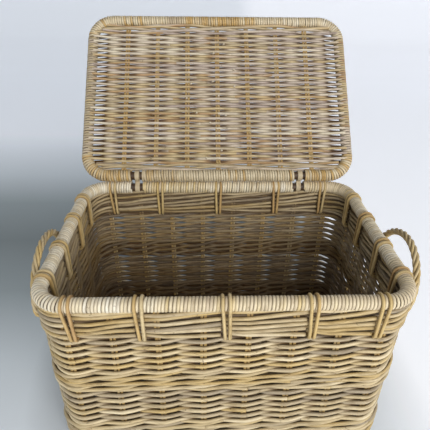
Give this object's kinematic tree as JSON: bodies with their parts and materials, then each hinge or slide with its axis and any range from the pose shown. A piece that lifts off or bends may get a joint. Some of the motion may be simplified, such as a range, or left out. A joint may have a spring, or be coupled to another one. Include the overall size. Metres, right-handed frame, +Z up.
{
  "type": "laundry hamper with lid",
  "caption": "Rectangular woven rattan hamper with rounded corners, roped side handles and a woven lid hinged on cane ties along the back rim.",
  "frame": {"origin": "middle of the underside of the base, on the floor", "axes": "+Z up; +X to the hamper's right seen from the front; the front faces -Y and the lid's hinge is at the back, +Y"},
  "size_m": [0.6567, 0.6696, 0.67],
  "materials": {
    "flat_cane": "satin",
    "tie_cane": "satin",
    "pole_rattan": "matt",
    "stake_rattan": "matt",
    "handle_rattan": "matt",
    "weave_rattan": "matt"
  },
  "bodies": {
    "basket": {"rim_pole": "pole_rattan", "rim_wrap": "flat_cane", "border_rods": "weave_rattan", "upper_weave": "weave_rattan", "middle_wale": "weave_rattan", "lower_weave": "weave_rattan", "bottom_wale": "weave_rattan", "base_hoop": "pole_rattan", "base_weave": "weave_rattan", "base_sticks": "stake_rattan", "front_stakes": "stake_rattan", "back_stakes": "stake_rattan", "left_stakes": "stake_rattan", "right_stakes": "stake_rattan", "front_ties": "tie_cane", "back_ties": "tie_cane", "left_ties": "tie_cane", "right_ties": "tie_cane", "left_handle_core": "pole_rattan", "left_handle_strands": "handle_rattan", "right_handle_core": "pole_rattan", "right_handle_strands": "handle_rattan", "left_hinge_tie": "flat_cane", "right_hinge_tie": "flat_cane"},
    "lid": {"lid_pole": "pole_rattan", "lid_front_wrap": "flat_cane", "lid_back_wrap": "flat_cane", "lid_left_wrap": "flat_cane", "lid_right_wrap": "flat_cane", "lid_stakes": "stake_rattan", "lid_weave": "weave_rattan", "lid_front_rods": "weave_rattan", "lid_back_rods": "weave_rattan"}
  },
  "joints": [
    {"name": "lid_hinge", "type": "hinge", "parent": "basket", "child": "lid", "pos_m": [0, 0.1925, 0.3731], "axis": [1, 0, 0], "range_deg": [0, 132]}
  ]
}
